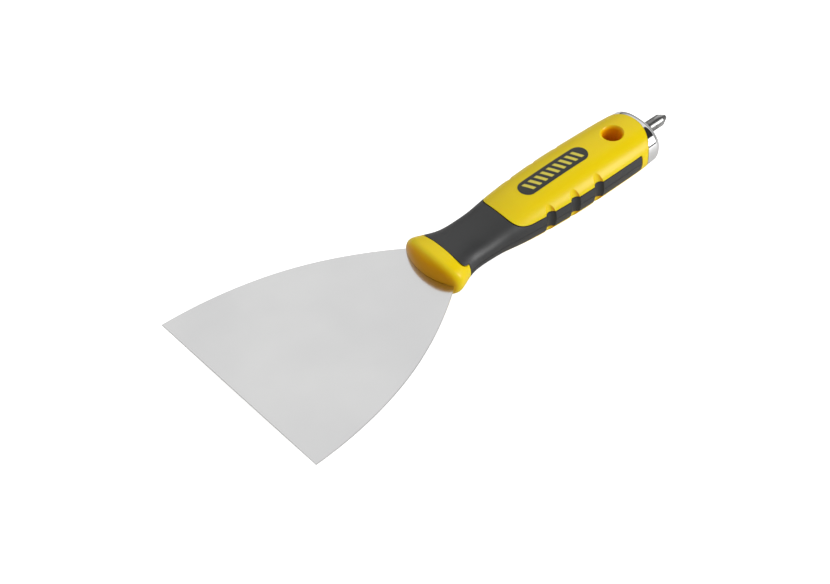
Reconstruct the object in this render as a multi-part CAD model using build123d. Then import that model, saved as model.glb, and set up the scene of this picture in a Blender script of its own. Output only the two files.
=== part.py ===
from build123d import *
import os
from math import cos, pi, sin, sqrt

# Filling knife with a screwdriver bit held in its steel hammer cap. Millimetres.
#
# Everything is drawn with X as the distance back from the working edge of the
# blade, Y across the tool and Z through its thickness, with the blade's middle
# plane at Z = 0. The finished solids are then moved so that the origin is the
# centre of the underside of the whole tool.

# ---- Driving dimensions -------------------------------------------------------
TOTAL_LENGTH = 250.8        # working edge to the tip of the bit
BLADE_WIDTH = 100.0
BLADE_THICKNESS = 1.0
EDGE_THICKNESS = 0.6        # ground down over the front of the blade
GRIND_LENGTH = 62.0
GUARD_X = 100.4             # where the blade leaves the handle
CAP_END_X = 234.0           # flat end of the hammer cap

# Blade outline and tang
BLADE_SIDE = ((30.0, 47.1), (60.0, 39.3), (88.0, 26.3), (105.0, 15.4))
TANG_START_X = 111.0
TANG_END_X = 205.0          # stops short of the hanging hole
TANG_HALF_WIDTH = 6.0
TANG_CORNER = 2.0
TANG_HOLE_RADIUS = 2.5
TANG_HOLES_X = (130.0, 156.0, 182.0)

# Handle form: (X, half width, half thickness)
FORM = (
    (98.0, 16.1, 9.5),
    (103.0, 16.8, 9.6),
    (108.0, 17.1, 9.3),
    (112.0, 15.75, 8.8),
    (117.0, 13.7, 8.1),
    (124.0, 12.5, 7.4),
    (133.0, 12.5, 7.5),
    (142.0, 13.05, 8.7),
    (152.0, 14.1, 10.2),
    (165.0, 15.0, 11.2),
    (180.0, 15.6, 11.8),
    (200.0, 15.6, 11.8),
    (215.0, 15.4, 11.5),
    (226.0, 14.9, 11.1),
    (238.0, 14.4, 10.9),
)
FORM_SQUARENESS = 2.3       # superellipse exponent of the cross-section
FORM_POINTS = 24

# Guard nose
NOSE_PLAN_RADIUS = 28.0
NOSE_LENGTH = 7.5
NOSE_HALF_THICKNESS = 9.8
NOSE_SQUARENESS = 2.8       # superellipse exponent of its profile in side view
NOSE_POINTS = 15
NOSE_EDGE_RADIUS = 4.0
NOSE_CUT_END_X = 118.0
SLOT_RELIEF = 0.15
SLOT_RELIEF_DEPTH = 3.0

# Soft grip: a sleeve round the neck that runs back as a strip along each side
GRIP_FRONT_X = 111.6
GRIP_DEPTH = 2.6
GRIP_SEAM = 0.35
TAB_END_X = 116.2
TAB_HALF_HEIGHT = 4.5
TAB_CORNER = 4.3
PANEL_FRONT_X = 143.3
PANEL_CURVE_LENGTH = 10.5
PANEL_CURVE_HEIGHT = 5.55
STRIP_HALF_HEIGHT = 4.15
STRIP_END_X = 219.8
STRIP_CORNER = 1.0
PARTING_LINE_HALF_WIDTH = 0.16
PARTING_LINE_PROUD = 0.09

# Finger scallops, three on each side
SCALLOPS = ((163.3, 16.1), (177.8, 16.8), (192.3, 16.8))    # (X, Y at mid height)
SCALLOP_RADIUS = 3.0
SCALLOP_SWEEP_RADIUS = 22.4

# Hanging hole
HOLE_X = 215.2
HOLE_RADIUS = 4.5
HOLE_HALF_LENGTH = 9.4      # straight part, between the rounded mouths
HOLE_MOUTH_RADIUS = 2.2

# Moulded carrier round the tang, inside the shell
CARRIER_START_X = 121.0
CARRIER_END_X = 200.0
CARRIER_HALF_WIDTH = 7.9
CARRIER_HALF_THICKNESS = 2.8
CARRIER_CORNER = 1.2
RIB_PITCH = 9.0
RIB_POCKET_LENGTH = 6.6
RIB_POCKET_DEPTH = 1.4

# Badges, one on each face
BADGE_X = 178.0
BADGE_LENGTH = 40.0
BADGE_WIDTH = 9.0
BADGE_DEPTH = 0.6
BADGE_PROUD = 0.06

# Hammer cap
RIM_TOP_X = 230.0
RIM_PLAN_RADIUS = 22.2
RIM_SEAM = 0.2
CAP_INSET = 0.1
CAP_WALL = 1.2
CAP_CORNER = 4.0
CAP_FRONT_X = 221.0
SPIGOT_END_X = 231.6

# Bit socket, retaining ring and magnet
SOCKET_RADIUS = 5.2
SOCKET_FLANGE_RADIUS = 6.6
SOCKET_FLANGE_THICKNESS = 1.0
SOCKET_BACK_X = 222.7
SOCKET_ACROSS_FLATS = 6.5
SOCKET_FLOOR = 1.0
MAGNET_RADIUS = 2.6
MAGNET_LENGTH = 2.0
RING_X = 229.5
RING_WIRE_RADIUS = 0.4
RING_INNER_RADIUS = 3.75
RING_OPENING = 1.6

# Screwdriver bit, a 25 mm insert bit for cross recess number 2
BIT_LENGTH = 25.0
BIT_ACROSS_FLATS = 6.35
BIT_HEX_LENGTH = 12.0
BIT_SHAFT_RADIUS = 2.9
BIT_TIP_RADIUS = 1.15
BIT_CONE_LENGTH = 3.6
BIT_NECK_LENGTH = 1.5
BIT_CHAMFER = 0.6
FLUTE_LENGTH = 7.4
FLUTE_OFFSET = 1.82         # corner of a flute from the bit's axis, at its back end
FLUTE_DEPTH_ANGLE = 9.0


BIG = 60.0                  # larger than any part, for cutting bodies
OVERLAP = 1.0               # how far joined areas reach into each other


# ---- Helpers ------------------------------------------------------------------
def superellipse_point(angle, half_width, half_height, squareness):
    """Point of an outline that is squarer than an ellipse."""
    power = 2.0 / squareness
    across, along = cos(angle), sin(angle)
    u = half_width * abs(across) ** power * (1 if across >= 0 else -1)
    v = half_height * abs(along) ** power * (1 if along >= 0 else -1)
    return u, v


def superellipse(half_width, half_thickness):
    """Closed cross-section of the handle."""
    points = []
    for step in range(FORM_POINTS):
        angle = 2.0 * pi * step / FORM_POINTS
        points.append(superellipse_point(angle, half_width, half_thickness, FORM_SQUARENESS))
    return make_face(Spline(points, periodic=True))


def handle_form(inset=0.0):
    """The outer form of the handle, or the same form set in by a constant."""
    sections = []
    for x, half_width, half_thickness in FORM:
        outline = superellipse(half_width - inset, half_thickness - inset)
        sections.append(Plane.YZ.offset(x) * outline)
    return loft(sections)


def block(x_start, x_end, half_y, half_z):
    """A plain box between two distances, centred on the tool's axis."""
    middle = (x_start + x_end) / 2.0
    return Pos(middle, 0, 0) * Box(x_end - x_start, 2 * half_y, 2 * half_z)


def rod(x_start, x_end, radius):
    """A round bar along the tool's axis."""
    middle = (x_start + x_end) / 2.0
    return Pos(middle, 0, 0) * Rot(0, 90, 0) * Cylinder(radius, x_end - x_start)


def hexagon_bar(x_start, x_end, across_flats):
    """A hexagonal bar along the tool's axis."""
    outline = RegularPolygon(across_flats / 2.0, 6, major_radius=False)
    return extrude(Plane.YZ.offset(x_start) * outline, x_end - x_start)


def both_sides(solid):
    """A solid and its mirror image in the middle plane across the tool."""
    return solid + mirror(solid, Plane.XZ)


# ---- Blade --------------------------------------------------------------------
def blade_outline():
    """Fan-shaped blade that runs back into a full-length tang."""
    half = BLADE_WIDTH / 2.0
    tang = TANG_HALF_WIDTH
    edge = Line((0, 0), (0, half))
    side = Spline([(0, half), *BLADE_SIDE])
    shoulder = Line(BLADE_SIDE[-1], (TANG_START_X, tang))
    tang_side = Line((TANG_START_X, tang), (TANG_END_X, tang))
    tang_end = Line((TANG_END_X, tang), (TANG_END_X, 0))
    axis = Line((TANG_END_X, 0), (0, 0))
    face = make_face([edge, side, shoulder, tang_side, tang_end, axis])
    return face + mirror(face, Plane.XZ)


def blade_plate(thickness):
    """The blade and tang as a sheet of even thickness."""
    plate = extrude(blade_outline(), thickness / 2.0, both=True)
    ends = plate.edges().filter_by(Axis.Z).group_by(Axis.X)[-1]
    return fillet(ends, TANG_CORNER)


def make_blade():
    plate = blade_plate(BLADE_THICKNESS)
    thin, full = EDGE_THICKNESS / 2.0, BLADE_THICKNESS / 2.0
    profile = Polyline(
        (0, -thin), (GRIND_LENGTH, -full), (TOTAL_LENGTH, -full),
        (TOTAL_LENGTH, full), (GRIND_LENGTH, full), (0, thin), close=True)
    ground = extrude(Plane.XZ * make_face(profile), BIG, both=True)
    plate = plate & ground
    for x in TANG_HOLES_X:
        plate -= Pos(x, 0, 0) * Cylinder(TANG_HOLE_RADIUS, BIG)
    return plate


# ---- Handle -------------------------------------------------------------------
def nose_profile():
    """Side-view profile of the guard's front, from top to bottom."""
    points = []
    for step in range(NOSE_POINTS):
        angle = pi * (step / (NOSE_POINTS - 1) - 0.5)
        points.append(superellipse_point(
            angle, NOSE_LENGTH, NOSE_HALF_THICKNESS, NOSE_SQUARENESS))
    return make_face([Spline(points), Line(points[-1], points[0])])


def nose_waste():
    """What is cut off the front of the form to leave the rounded guard."""
    centre_x = GUARD_X + NOSE_PLAN_RADIUS
    shoulder = NOSE_PLAN_RADIUS - NOSE_LENGTH
    flat = Rectangle(shoulder, 2 * NOSE_HALF_THICKNESS)
    section = Pos(shoulder / 2.0, 0) * flat + Pos(shoulder, 0) * nose_profile()
    disc = Pos(centre_x, 0, 0) * revolve(Plane.XZ * section, Axis.Z)
    return block(GUARD_X - BIG, NOSE_CUT_END_X, BIG, BIG) - disc


def grip_region(grow=0.0):
    """Side-view area of the soft grip, as a body right through the handle."""
    curve_x = PANEL_FRONT_X + PANEL_CURVE_LENGTH
    strip = STRIP_HALF_HEIGHT + grow
    curve_z = strip + PANEL_CURVE_HEIGHT
    front = GRIP_FRONT_X - grow
    neck_length = curve_x - front
    neck = Pos(front + neck_length / 2.0, 0) * Rectangle(neck_length, BIG)
    for side in (1, -1):
        panel = Ellipse(PANEL_CURVE_LENGTH - grow, PANEL_CURVE_HEIGHT)
        neck -= Pos(curve_x, side * curve_z) * panel
        gap = BIG / 2.0 - curve_z
        corner = Rectangle(PANEL_CURVE_LENGTH - grow, gap)
        neck -= Pos(curve_x - (PANEL_CURVE_LENGTH - grow) / 2.0,
                    side * (curve_z + gap / 2.0)) * corner
    strip_length = STRIP_END_X + grow - curve_x + OVERLAP
    strip_area = Rectangle(strip_length, 2 * strip)
    strip_area = fillet(strip_area.vertices().group_by(Axis.X)[-1], STRIP_CORNER)
    area = neck + Pos(STRIP_END_X + grow - strip_length / 2.0, 0) * strip_area
    area -= guard_tab(grow)
    return extrude(Plane.XZ * area, BIG, both=True)


def guard_tab(grow):
    """Tab of the guard that reaches back along each side, in side view."""
    height = TAB_HALF_HEIGHT - grow
    end, root = TAB_END_X - grow, GRIP_FRONT_X - grow
    tab = Pos((root + end) / 2.0 - OVERLAP, 0) * Rectangle(end - root + 2 * OVERLAP, 2 * height)
    for side in (1, -1):
        corner = Pos(root + TAB_CORNER / 2.0, side * (height + TAB_CORNER / 2.0))
        tab += corner * Rectangle(TAB_CORNER, TAB_CORNER)
        round_x, round_z = root + TAB_CORNER, side * (height + TAB_CORNER)
        tab -= Pos(round_x, round_z) * Circle(TAB_CORNER)
    return tab


def scallop_cutters():
    """Bent round cutters that make the finger scallops down each side."""
    cutters = Part()
    for x, reach in SCALLOPS:
        centre_y = reach - SCALLOP_SWEEP_RADIUS
        ring = Rot(0, 90, 0) * Torus(SCALLOP_SWEEP_RADIUS, SCALLOP_RADIUS)
        outer = Pos(x, BIG / 2.0, 0) * Box(BIG, BIG, BIG)
        cutters += both_sides((Pos(x, centre_y, 0) * ring) & outer)
    return cutters


def hanging_hole():
    """Straight bore with a rounded mouth at each face."""
    r, m, h = HOLE_RADIUS, HOLE_MOUTH_RADIUS, HOLE_HALF_LENGTH
    outline = make_face([
        Line((0, 0), (r, 0)),
        Line((r, 0), (r, h)),
        RadiusArc((r, h), (r + m, h + m), m),
        Line((r + m, h + m), (r + m, h + 3 * m)),
        Line((r + m, h + 3 * m), (0, h + 3 * m)),
        Line((0, h + 3 * m), (0, 0)),
    ])
    half = revolve(Plane.XZ * outline, Axis.Z)
    return Pos(HOLE_X, 0, 0) * (half + mirror(half, Plane.XY))


def rim_body(gap=0.0):
    """Everything ahead of the curved seam between the shell and the cap."""
    radius = RIM_PLAN_RADIUS - gap
    centre_x = RIM_TOP_X - RIM_PLAN_RADIUS
    ahead = Pos(centre_x, 0, 0) * Cylinder(radius, BIG)
    return ahead + block(0, centre_x, BIG, BIG / 2.0)


def badge_area(face, grow=0.0):
    """Stadium-shaped plug through one face of the handle."""
    outline = SlotOverall(BADGE_LENGTH + 2 * grow, BADGE_WIDTH + 2 * grow)
    return Pos(BADGE_X, 0, 0) * extrude(outline, face * BIG)


def make_carrier(blade):
    body = block(CARRIER_START_X, CARRIER_END_X, CARRIER_HALF_WIDTH, CARRIER_HALF_THICKNESS)
    body = fillet(body.edges().filter_by(Axis.X), CARRIER_CORNER)
    pockets = int((CARRIER_END_X - CARRIER_START_X) // RIB_PITCH)
    first = (CARRIER_START_X + CARRIER_END_X - (pockets - 1) * RIB_PITCH) / 2.0
    depth_y = CARRIER_HALF_WIDTH - RIB_POCKET_DEPTH / 2.0
    for index in range(pockets):
        pocket = Box(RIB_POCKET_LENGTH, RIB_POCKET_DEPTH, 2 * CARRIER_HALF_THICKNESS)
        body -= both_sides(Pos(first + index * RIB_PITCH, depth_y, 0) * pocket)
    return body - blade


def socket_pocket():
    return rod(SOCKET_BACK_X, CAP_END_X + BIG, SOCKET_RADIUS)


def make_shell(form, blade, carrier):
    seam = grip_region(GRIP_SEAM)
    core = handle_form(GRIP_DEPTH)
    outer = form - nose_waste()
    ridge = outer.edges().filter_by(lambda edge: edge.center().X < GRIP_FRONT_X)
    outer = fillet(ridge, NOSE_EDGE_RADIUS)
    spigot = handle_form(CAP_INSET + CAP_WALL) & block(HOLE_X, SPIGOT_END_X, BIG, BIG)
    shell = (outer & rim_body(RIM_SEAM)) + spigot
    shell -= seam - core
    shell -= scallop_cutters()
    shell -= hanging_hole()
    shell -= block(0, GUARD_X + SLOT_RELIEF_DEPTH, BIG, BLADE_THICKNESS / 2.0 + SLOT_RELIEF)
    shell -= blade
    shell -= carrier
    shell -= socket_pocket()
    badge_floor = handle_form(BADGE_DEPTH)
    for face in (1, -1):
        shell -= badge_area(face) - badge_floor
    return shell


def make_grip(form):
    sleeve = (form - handle_form(GRIP_DEPTH)) & grip_region()
    line = block(GRIP_FRONT_X, STRIP_END_X, BIG, PARTING_LINE_HALF_WIDTH)
    line &= handle_form(-PARTING_LINE_PROUD) - handle_form(GRIP_DEPTH / 2.0)
    sleeve += line & grip_region()
    return sleeve - scallop_cutters()


def make_badge(face):
    plug = badge_area(face)
    return (handle_form(-BADGE_PROUD) & plug) - handle_form(BADGE_DEPTH)


# ---- Hammer cap and bit socket ------------------------------------------------
def make_cap():
    outer = handle_form(CAP_INSET) & block(CAP_FRONT_X, CAP_END_X, BIG, BIG)
    end_edges = outer.faces().sort_by(Axis.X)[-1].edges()
    outer = fillet(end_edges, CAP_CORNER)
    inner = handle_form(CAP_INSET + CAP_WALL) & block(0, SPIGOT_END_X, BIG, BIG)
    cap = outer - rim_body() - inner
    seat = rod(CAP_END_X - SOCKET_FLANGE_THICKNESS, CAP_END_X + BIG, SOCKET_FLANGE_RADIUS)
    return cap - seat - socket_pocket()


def make_socket():
    body = rod(SOCKET_BACK_X, CAP_END_X, SOCKET_RADIUS)
    body += rod(CAP_END_X - SOCKET_FLANGE_THICKNESS, CAP_END_X, SOCKET_FLANGE_RADIUS)
    bore_start = SOCKET_BACK_X + SOCKET_FLOOR + MAGNET_LENGTH
    body -= hexagon_bar(bore_start, CAP_END_X + OVERLAP, SOCKET_ACROSS_FLATS)
    body -= rod(SOCKET_BACK_X + SOCKET_FLOOR, bore_start, MAGNET_RADIUS)
    body -= rod(RING_X - RING_WIRE_RADIUS, RING_X + RING_WIRE_RADIUS,
                RING_INNER_RADIUS + 2 * RING_WIRE_RADIUS)
    return body


def make_magnet():
    start = SOCKET_BACK_X + SOCKET_FLOOR
    return rod(start, start + MAGNET_LENGTH, MAGNET_RADIUS)


def make_ring():
    ring = Torus(RING_INNER_RADIUS + RING_WIRE_RADIUS, RING_WIRE_RADIUS)
    ring = Pos(RING_X, 0, 0) * Rot(0, 90, 0) * ring
    opening = Pos(RING_X, BIG / 2.0, 0) * Box(BIG, BIG, RING_OPENING)
    return ring - opening


# ---- Screwdriver bit ----------------------------------------------------------
def make_bit():
    start = TOTAL_LENGTH - BIT_LENGTH
    hex_end = start + BIT_HEX_LENGTH
    cone_start = TOTAL_LENGTH - BIT_CONE_LENGTH
    corner = BIT_ACROSS_FLATS / sqrt(3)
    profile = Polyline(
        (start, 0), (start, corner - BIT_CHAMFER), (start + BIT_CHAMFER, corner), (hex_end, corner),
        (hex_end + BIT_NECK_LENGTH, BIT_SHAFT_RADIUS), (cone_start, BIT_SHAFT_RADIUS),
        (TOTAL_LENGTH, BIT_TIP_RADIUS), (TOTAL_LENGTH, 0), close=True)
    turned = revolve(make_face(profile), Axis.X)
    hexed = hexagon_bar(start, TOTAL_LENGTH, BIT_ACROSS_FLATS)
    bit = turned & hexed
    return bit - flutes()


def flutes():
    """Four right-angled grooves that leave the cross-shaped driving tip.

    Each groove is a square block whose edge lies along the bottom of the flute
    and runs down towards the axis at the tip.
    """
    groove = Part()
    size = 2 * BIT_SHAFT_RADIUS
    for quarter in range(4):
        corner = Pos(FLUTE_LENGTH / 2.0, size / 2.0, size / 2.0)
        corner *= Box(FLUTE_LENGTH, size, size)
        turned = Rot(0, FLUTE_DEPTH_ANGLE, -FLUTE_DEPTH_ANGLE) * corner
        tilted = Pos(TOTAL_LENGTH - FLUTE_LENGTH, FLUTE_OFFSET, FLUTE_OFFSET) * turned
        groove += Rot(45 + 90 * quarter, 0, 0) * tilted
    return groove


# ---- Assembly -----------------------------------------------------------------
def make_parts():
    form = handle_form()
    blade = make_blade()
    carrier = make_carrier(blade)
    return {
        "blade": blade,
        "tang_carrier": carrier,
        "handle_shell": make_shell(form, blade, carrier),
        "soft_grip": make_grip(form),
        "upper_badge": make_badge(1),
        "lower_badge": make_badge(-1),
        "end_cap": make_cap(),
        "bit_socket": make_socket(),
        "retaining_ring": make_ring(),
        "bit_magnet": make_magnet(),
        "screwdriver_bit": make_bit(),
    }


parts = make_parts()
lowest = min(solid.bounding_box().min.Z for solid in parts.values())
origin_at_underside = Pos(-TOTAL_LENGTH / 2.0, 0, -lowest)
os.makedirs("parts", exist_ok=True)
for name, solid in parts.items():
    export_step(origin_at_underside * solid, "parts/" + name + ".step")
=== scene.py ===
"""Looks of the filling knife: materials, badge detail, floor, studio light and camera."""
import math

import bmesh
import bpy
from mathutils import Matrix, Vector


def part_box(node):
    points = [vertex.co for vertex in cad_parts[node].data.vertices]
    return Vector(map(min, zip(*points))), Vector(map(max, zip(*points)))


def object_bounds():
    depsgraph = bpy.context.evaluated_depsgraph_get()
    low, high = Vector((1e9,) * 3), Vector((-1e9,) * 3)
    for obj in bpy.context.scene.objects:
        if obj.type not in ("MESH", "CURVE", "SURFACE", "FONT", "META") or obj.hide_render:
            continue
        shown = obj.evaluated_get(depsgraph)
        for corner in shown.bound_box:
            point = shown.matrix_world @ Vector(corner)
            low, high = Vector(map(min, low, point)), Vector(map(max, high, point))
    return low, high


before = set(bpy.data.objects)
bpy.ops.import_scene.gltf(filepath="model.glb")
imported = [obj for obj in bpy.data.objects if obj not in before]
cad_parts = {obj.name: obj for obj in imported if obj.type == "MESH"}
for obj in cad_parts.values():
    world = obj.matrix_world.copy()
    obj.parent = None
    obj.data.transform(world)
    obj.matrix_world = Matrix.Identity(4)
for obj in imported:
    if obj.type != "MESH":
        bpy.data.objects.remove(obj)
cad_low, cad_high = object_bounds()

# ---- Places that everything else is worked out from, in metres ------------------
MID_Z = (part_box("blade")[0].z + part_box("blade")[1].z) / 2.0
EDGE_X = cad_low.x
HANDLE_MIDDLE = (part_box("handle_shell")[0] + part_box("handle_shell")[1]) / 2.0

# Camera: seen from the blade's side, from above
CAMERA_AZIMUTH = math.radians(-41.58)
CAMERA_ELEVATION = math.radians(46.18)
CAMERA_ROLL = math.radians(-0.35)
CAMERA_DISTANCE = 0.8441
CAMERA_LENS = 86.75
CAMERA_CLIP = (0.01, 20.0)
AIM_ALONG = 0.09085         # behind the working edge
AIM_ACROSS = -0.0063

# Floor
FLOOR_SIZE = 6.0
FLOOR_GAP = 0.0001
FLOOR_GLOW = 0.85           # only the camera sees it

# Studio: directions point away from the handle, and an edge or span is the cosine of the
# angle from its direction, at the outside and at the inside
KEY_DIRECTION = (0.58, -0.72, 0.38)
KEY_DISTANCE = 0.9
KEY_SIZE = (0.30, 0.42)
KEY_RADIANCE = 9.0
WHITE_CARD_EDGE = (0.945, 0.960)
BLACK_CARD_DIRECTION = (0.67, -0.22, 0.71)
BLACK_CARD_EDGE = (0.935, 0.950)
BLACK_CARD_LEVEL = 0.04
FRONT_DIRECTION = (-0.95, -0.25, 0.18)
FRONT_SPAN = (0.15, 0.80)
FRONT_TINT = (0.33, 0.30, 0.26)
WALL_LEVELS = ((0.05, 0.04), (0.11, 0.33), (0.25, 0.45), (0.5, 0.93))  # height, brightness

# Print on the badges
BAR_COUNT = 9
BAR_PITCH = 0.0037
BAR_WIDTH = 0.0018
BAR_SLANT = 0.45
BAR_HALF_HEIGHT = 0.0026

# Colours, each pair mixed by a noise
BLADE_TINTS = (0.685, 0.685, 0.687), (0.735, 0.735, 0.733)
YELLOW_TINTS = (0.89, 0.665, 0.0), (0.91, 0.685, 0.0)
RUBBER_TINTS = (0.026, 0.027, 0.028), (0.032, 0.033, 0.034)
CARRIER_TINTS = (0.03, 0.03, 0.03), (0.05, 0.05, 0.05)
BADGE_TINTS = (0.016, 0.017, 0.011), (0.022, 0.023, 0.016)
BAR_TINTS = (0.70, 0.60, 0.05), (0.74, 0.64, 0.07)
CHROME_TINTS = (0.76, 0.765, 0.77), (0.80, 0.80, 0.80)
BIT_TINTS = (0.20, 0.20, 0.196), (0.26, 0.26, 0.256)
FLOOR_TINTS = (0.83, 0.83, 0.83), (0.85, 0.85, 0.85)

# Colours of single places
# Painted shade on the yellow: deep orange in the hanging hole, lighter orange in creases
PAINTED_SHADE_DEEP_YELLOW = (0.42, 0.10, 0.0)         # where light is most trapped, in the hanging hole
PAINTED_SHADE_CREASE_YELLOW = (0.92, 0.35, 0.0)       # where it is less trapped, in creases
# Painted shade: faces turned towards the blade's end are painted this deeper orange
PAINTED_SHADE_GUARD_FACE = (0.95, 0.41, 0.0)   # where the guard faces the blade
WORN_BIT = (0.42, 0.42, 0.41)
SOCKET_STEEL = (0.50, 0.50, 0.49)
SPRING_STEEL = (0.40, 0.40, 0.42)
NICKEL = (0.66, 0.65, 0.62)

# Painted shade: reach of the occlusion that darkens the yellow
PAINTED_SHADE_REACH = 0.012       # how far the yellow looks for walls that trap light
TOOL_MARK_DARKENING = 0.82

scene = bpy.context.scene


# ---- Node helpers ----------------------------------------------------------------
class Tree:
    """Short calls for building one node tree."""

    def __init__(self, tree):
        self.tree = tree

    def add(self, kind, **settings):
        node = self.tree.nodes.new(kind)
        for key, value in settings.items():
            setattr(node, key, value)
        return node

    def link(self, source, target):
        self.tree.links.new(source, target)

    def feed(self, socket, value):
        """Gives an input a constant or links it to another node's output."""
        if isinstance(value, bpy.types.NodeSocket):
            self.link(value, socket)
        elif isinstance(value, tuple) and len(value) == 3 and socket.type == "RGBA":
            socket.default_value = (*value, 1.0)
        else:
            socket.default_value = value

    def split(self, vector):
        """The X, Y and Z outputs for a vector."""
        node = self.add("ShaderNodeSeparateXYZ")
        self.link(vector, node.inputs[0])
        return node.outputs


class Nodes(Tree):
    """One material's node tree. Noise scales are per metre and bump distances in metres."""

    def __init__(self, name):
        self.material = bpy.data.materials.new(name)
        self.material.use_nodes = True
        super().__init__(self.material.node_tree)
        self.shader = self.tree.nodes["Principled BSDF"]
        self.place = self.add("ShaderNodeTexCoord").outputs["Object"]

    def stretched(self, scale):
        mapping = self.add("ShaderNodeMapping")
        mapping.inputs["Scale"].default_value = scale
        self.link(self.place, mapping.inputs["Vector"])
        return mapping.outputs["Vector"]

    def noise(self, scale, detail=2.0, roughness=0.5, vector=None, distortion=0.0):
        node = self.add("ShaderNodeTexNoise")
        node.inputs["Scale"].default_value = scale
        node.inputs["Detail"].default_value = detail
        node.inputs["Roughness"].default_value = roughness
        node.inputs["Distortion"].default_value = distortion
        self.link(vector or self.place, node.inputs["Vector"])
        return node.outputs["Fac"]

    def spread(self, value, low, high, start=0.3, end=0.7):
        """Maps a value between start and end to the range low to high."""
        node = self.add("ShaderNodeMapRange")
        node.inputs["From Min"].default_value = start
        node.inputs["From Max"].default_value = end
        node.inputs["To Min"].default_value = low
        node.inputs["To Max"].default_value = high
        self.link(value, node.inputs["Value"])
        return node.outputs["Result"]

    def mix(self, factor, first, second):
        """Mixes two colours, each a constant or a socket."""
        node = self.add("ShaderNodeMix", data_type="RGBA")
        self.link(factor, node.inputs["Factor"])
        for name, value in (("A", first), ("B", second)):
            self.feed(next(s for s in node.inputs if s.name == name and s.type == "RGBA"), value)
        return next(s for s in node.outputs if s.type == "RGBA")

    def mottle(self, noise, tints):
        """Mixes a pair of tints by a noise, from one wholly to the other."""
        return self.mix(self.spread(noise, 0.0, 1.0), *tints)

    def bump(self, height, distance, below=None):
        node = self.add("ShaderNodeBump")
        node.inputs["Strength"].default_value = 1.0
        node.inputs["Distance"].default_value = distance
        self.link(height, node.inputs["Height"])
        if below:
            self.link(below, node.inputs["Normal"])
        return node.outputs["Normal"]

    def math(self, operation, *values):
        """One arithmetic step on sockets and constants."""
        node = self.add("ShaderNodeMath", operation=operation)
        for socket, value in zip(node.inputs, values):
            self.feed(socket, value)
        return node.outputs[0]

    def set(self, **values):
        """Sets the shader's inputs, with _ for a space in a name, and returns the material."""
        for name, value in values.items():
            self.feed(self.shader.inputs[name.replace("_", " ")], value)
        return self.material


# ---- Materials -------------------------------------------------------------------
def blade_steel():
    """Satin stainless sheet: fine grinding lines across the blade and faint handling marks."""
    n = Nodes("satin_blade_steel")
    lines = n.noise(1400.0, detail=3.0, vector=n.stretched((1.0, 0.02, 1.0)))
    cloud = n.noise(24.0, detail=3.0, roughness=0.5)
    smear = n.noise(70.0, detail=2.0, vector=n.stretched((0.5, 1.6, 1.0)), distortion=0.6)
    rough = n.math("ADD", n.spread(lines, 0.135, 0.165), n.spread(smear, 0.0, 0.03, 0.45, 0.75))
    return n.set(Base_Color=n.mottle(cloud, BLADE_TINTS), Metallic=1.0, Roughness=rough,
                 Normal=n.bump(lines, 0.0000008))


def yellow_plastic():
    """Semi-gloss moulded polypropylene, with painted shade: deeper orange where occlusion finds
    walls that trap light, and on faces turned towards the blade.
    """
    n = Nodes("yellow_polypropylene")
    cloud = n.noise(60.0, detail=3.0)
    shelter = n.add("ShaderNodeAmbientOcclusion", samples=8, only_local=True)
    shelter.inputs["Distance"].default_value = PAINTED_SHADE_REACH
    open_sky = shelter.outputs["AO"]
    # Painted shade: occluded yellow is painted deep orange in the hole and orange in creases
    painted_shade_tint = n.mix(n.spread(open_sky, 0.0, 1.0, 0.03, 0.20), PAINTED_SHADE_DEEP_YELLOW, PAINTED_SHADE_CREASE_YELLOW)
    tint = n.mix(n.spread(open_sky, 0.0, 1.0, 0.35, 0.92),
                 painted_shade_tint, n.mottle(cloud, YELLOW_TINTS))
    # Painted shade: faces turned towards the blade's end, such as the guard's face, are painted
    # a deeper orange than the rest
    facing = n.split(n.add("ShaderNodeNewGeometry").outputs["Normal"])["X"]
    tint = n.mix(n.spread(facing, 0.9, 0.0, -0.90, -0.35), tint, PAINTED_SHADE_GUARD_FACE)
    skin = n.noise(5200.0, detail=2.0)
    ripple = n.noise(140.0, detail=2.0)
    return n.set(Base_Color=tint, Roughness=n.spread(skin, 0.27, 0.35),
                 Normal=n.bump(skin, 0.000006, below=n.bump(ripple, 0.00002)),
                 IOR=1.49, Specular_IOR_Level=0.24, Subsurface_Weight=0.10,
                 Subsurface_Radius=(0.004, 0.0014, 0.0002), Subsurface_Scale=1.0)


def grip_rubber():
    """Matt elastomer with a fine grained skin and rubbed, slightly shinier patches."""
    n = Nodes("grip_elastomer")
    cloud = n.noise(70.0, detail=4.0, roughness=0.6)
    grain = n.noise(3800.0, detail=3.0, roughness=0.6)
    rough = n.math("ADD", n.spread(grain, 0.40, 0.50), n.spread(cloud, -0.03, 0.03))
    return n.set(Base_Color=n.mottle(cloud, RUBBER_TINTS), Roughness=rough, IOR=1.48,
                 Normal=n.bump(grain, 0.000016))


def carrier_plastic():
    """Plain dark polypropylene, hidden inside the handle."""
    n = Nodes("carrier_polypropylene")
    grain = n.noise(2500.0)
    return n.set(Base_Color=n.mix(grain, *CARRIER_TINTS), Roughness=n.spread(grain, 0.5, 0.6),
                 Normal=n.bump(grain, 0.00001))


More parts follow.
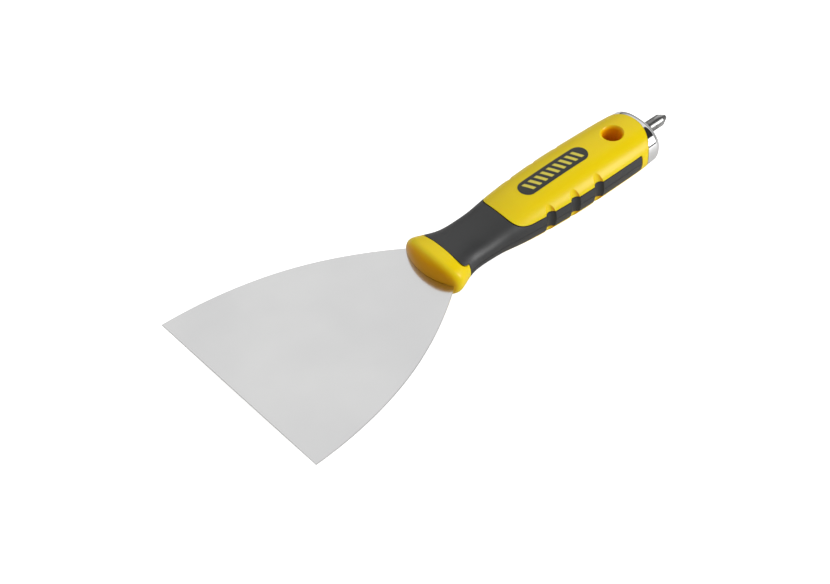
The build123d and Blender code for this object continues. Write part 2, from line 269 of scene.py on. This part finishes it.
def badge_print():
    """Dark inlay printed with a row of slanted bars."""
    n = Nodes("badge_dark_inlay")
    low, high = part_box("upper_badge")
    parts = n.split(n.place)
    across = parts["Y"]
    along = n.math("SUBTRACT", parts["X"], (low.x + high.x) / 2.0)
    slanted = n.math("ADD", along, n.math("MULTIPLY", across, BAR_SLANT))
    phase = n.math("ABSOLUTE", n.math("WRAP", slanted, BAR_PITCH / 2.0, -BAR_PITCH / 2.0))
    bar = n.math("LESS_THAN", phase, BAR_WIDTH / 2.0)
    in_height = n.math("LESS_THAN", n.math("ABSOLUTE", across), BAR_HALF_HEIGHT)
    in_row = n.math("LESS_THAN", n.math("ABSOLUTE", slanted), BAR_COUNT * BAR_PITCH / 2.0)
    ink = n.math("MULTIPLY", n.math("MULTIPLY", bar, in_height), in_row)
    grain = n.noise(4200.0)
    cloud = n.noise(120.0)
    print_colour = n.mix(ink, n.mix(cloud, *BADGE_TINTS), n.mix(cloud, *BAR_TINTS))
    return n.set(Base_Color=print_colour, Roughness=n.spread(grain, 0.34, 0.44),
                 Normal=n.bump(grain, 0.000005))


def cap_chrome():
    """Bright chrome plate with faint polishing haze."""
    n = Nodes("bright_chrome")
    haze = n.noise(90.0, detail=4.0, roughness=0.6)
    ripple = n.noise(220.0, detail=1.0)
    return n.set(Base_Color=n.mix(haze, *CHROME_TINTS), Metallic=1.0,
                 Roughness=n.spread(haze, 0.03, 0.07), Normal=n.bump(ripple, 0.00002))


def turned_steel(name, colour, roughness):
    """Plain machined steel with tool marks round the tool's axis."""
    n = Nodes(name)
    marks = n.noise(1500.0, detail=2.0, vector=n.stretched((1.0, 0.05, 0.05)))
    darker = tuple(part * TOOL_MARK_DARKENING for part in colour)
    return n.set(Base_Color=n.mix(marks, darker, colour), Metallic=1.0,
                 Roughness=n.spread(marks, roughness - 0.05, roughness + 0.08),
                 Normal=n.bump(marks, 0.000006))


def bit_steel():
    """Sand-blasted grey tool steel, worn brighter on the edges of the point."""
    n = Nodes("blasted_bit_steel")
    blast = n.noise(4500.0, detail=3.0, roughness=0.7)
    cloud = n.noise(300.0, detail=3.0)
    edge = n.add("ShaderNodeNewGeometry").outputs["Pointiness"]
    worn = n.mix(n.spread(edge, 0.0, 1.0, 0.52, 0.60), n.mottle(cloud, BIT_TINTS), WORN_BIT)
    return n.set(Base_Color=worn, Metallic=1.0, Roughness=n.spread(blast, 0.24, 0.36),
                 Normal=n.bump(blast, 0.000005))


MATERIALS = {
    "blade": blade_steel(),
    "handle_shell": yellow_plastic(),
    "soft_grip": grip_rubber(),
    "tang_carrier": carrier_plastic(),
    "upper_badge": badge_print(),
    "end_cap": cap_chrome(),
    "bit_socket": turned_steel("turned_socket_steel", SOCKET_STEEL, 0.30),
    "retaining_ring": turned_steel("spring_wire_steel", SPRING_STEEL, 0.25),
    "bit_magnet": turned_steel("nickel_plate", NICKEL, 0.18),
    "screwdriver_bit": bit_steel(),
}
MATERIALS["lower_badge"] = MATERIALS["upper_badge"]

for name, material in MATERIALS.items():
    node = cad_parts[name]
    node.data.materials.clear()
    node.data.materials.append(material)


# ---- Floor, light and camera -------------------------------------------------------
def make_floor():
    """A light table under the handle."""
    mesh = bpy.data.meshes.new("floor")
    grid = bmesh.new()
    bmesh.ops.create_grid(grid, x_segments=1, y_segments=1, size=FLOOR_SIZE / 2.0)
    grid.to_mesh(mesh)
    grid.free()
    floor = bpy.data.objects.new("floor", mesh)
    scene.collection.objects.link(floor)
    floor.location.z = cad_low.z - FLOOR_GAP
    n = Nodes("light_table")
    seen = n.add("ShaderNodeLightPath").outputs["Is Camera Ray"]
    mesh.materials.append(n.set(
        Base_Color=n.mix(n.noise(60.0), *FLOOR_TINTS), Roughness=0.6,
        Emission_Color=(1.0, 1.0, 1.0), Emission_Strength=n.math("MULTIPLY", seen, FLOOR_GLOW)))


def make_key_light():
    """A soft box that faces the handle."""
    data = bpy.data.lights.new("key_soft_box", "AREA")
    data.shape = "RECTANGLE"
    data.size, data.size_y = KEY_SIZE
    data.energy = KEY_RADIANCE * math.pi * data.size * data.size_y
    light = bpy.data.objects.new("key_soft_box", data)
    scene.collection.objects.link(light)
    away = Vector(KEY_DIRECTION).normalized()
    light.location = HANDLE_MIDDLE + away * KEY_DISTANCE
    light.rotation_euler = (-away).to_track_quat("-Z", "Y").to_euler()


def make_world():
    """Pale studio walls, dark near the horizon and dimmer in front of the blade.

    A black card above the handle's end gives the cap its dark band, and a white card
    widens the key light. The camera sees plain white in their place.
    """
    world = bpy.data.worlds.new("studio")
    scene.world = world
    world.use_nodes = True
    world.node_tree.nodes.clear()
    n = Tree(world.node_tree)
    place = n.add("ShaderNodeTexCoord").outputs["Generated"]

    def grey(level):
        return (level, level, level)

    def ramp(value, *stops):
        node = n.add("ShaderNodeValToRGB")
        stop_list = node.color_ramp.elements
        while len(stop_list) < len(stops):
            stop_list.new(1.0)
        for stop, (position, colour) in zip(stop_list, stops):
            stop.position = position
            stop.color = (*colour, 1.0)
        n.link(value, node.inputs["Fac"])
        return node.outputs["Color"]

    def patch(direction, span, outside, inside):
        """A colour round a direction, and another outside it."""
        node = n.add("ShaderNodeVectorMath", operation="DOT_PRODUCT")
        n.link(place, node.inputs[0])
        node.inputs[1].default_value = Vector(direction).normalized()
        return ramp(node.outputs["Value"], (span[0], outside), (span[1], inside))

    def blend(kind, first, second):
        node = n.add("ShaderNodeMixRGB", blend_type=kind)
        for socket, value in zip(node.inputs, (1.0, first, second)):
            n.feed(socket, value)
        return node.outputs["Color"]

    height = ramp(n.split(place)["Z"], *((at, grey(level)) for at, level in WALL_LEVELS))
    front = patch(FRONT_DIRECTION, FRONT_SPAN, grey(1.0), FRONT_TINT)
    black_card = patch(BLACK_CARD_DIRECTION, BLACK_CARD_EDGE, grey(1.0), grey(BLACK_CARD_LEVEL))
    white_card = patch(KEY_DIRECTION, WHITE_CARD_EDGE, grey(0.0), grey(1.0))
    walls = blend("MULTIPLY", blend("MULTIPLY", height, front), black_card)

    studio = n.add("ShaderNodeBackground")
    n.link(blend("ADD", walls, white_card), studio.inputs["Color"])
    plain = n.add("ShaderNodeBackground")
    plain.inputs["Color"].default_value = (*grey(1.0), 1.0)
    choose = n.add("ShaderNodeMixShader")
    out = n.add("ShaderNodeOutputWorld")
    n.link(n.add("ShaderNodeLightPath").outputs["Is Camera Ray"], choose.inputs["Fac"])
    n.link(studio.outputs[0], choose.inputs[1])
    n.link(plain.outputs[0], choose.inputs[2])
    n.link(choose.outputs[0], out.inputs["Surface"])


def make_camera():
    back = Vector((math.sin(CAMERA_AZIMUTH) * math.cos(CAMERA_ELEVATION),
                   -math.cos(CAMERA_AZIMUTH) * math.cos(CAMERA_ELEVATION),
                   math.sin(CAMERA_ELEVATION)))
    level = Vector((math.cos(CAMERA_AZIMUTH), math.sin(CAMERA_AZIMUTH), 0.0))
    right = Matrix.Rotation(CAMERA_ROLL, 3, back) @ level
    up = back.cross(right)
    data = bpy.data.cameras.new("camera")
    data.lens = CAMERA_LENS
    data.clip_start, data.clip_end = CAMERA_CLIP
    camera = bpy.data.objects.new("camera", data)
    scene.collection.objects.link(camera)
    aim = Vector((EDGE_X + AIM_ALONG, AIM_ACROSS, MID_Z))
    turn = Matrix((right, up, back)).transposed().to_4x4()
    camera.matrix_world = Matrix.Translation(aim + back * CAMERA_DISTANCE) @ turn
    scene.camera = camera


make_floor()
make_world()
make_key_light()
make_camera()
scene.view_settings.view_transform = "Standard"
scene.view_settings.look = "None"
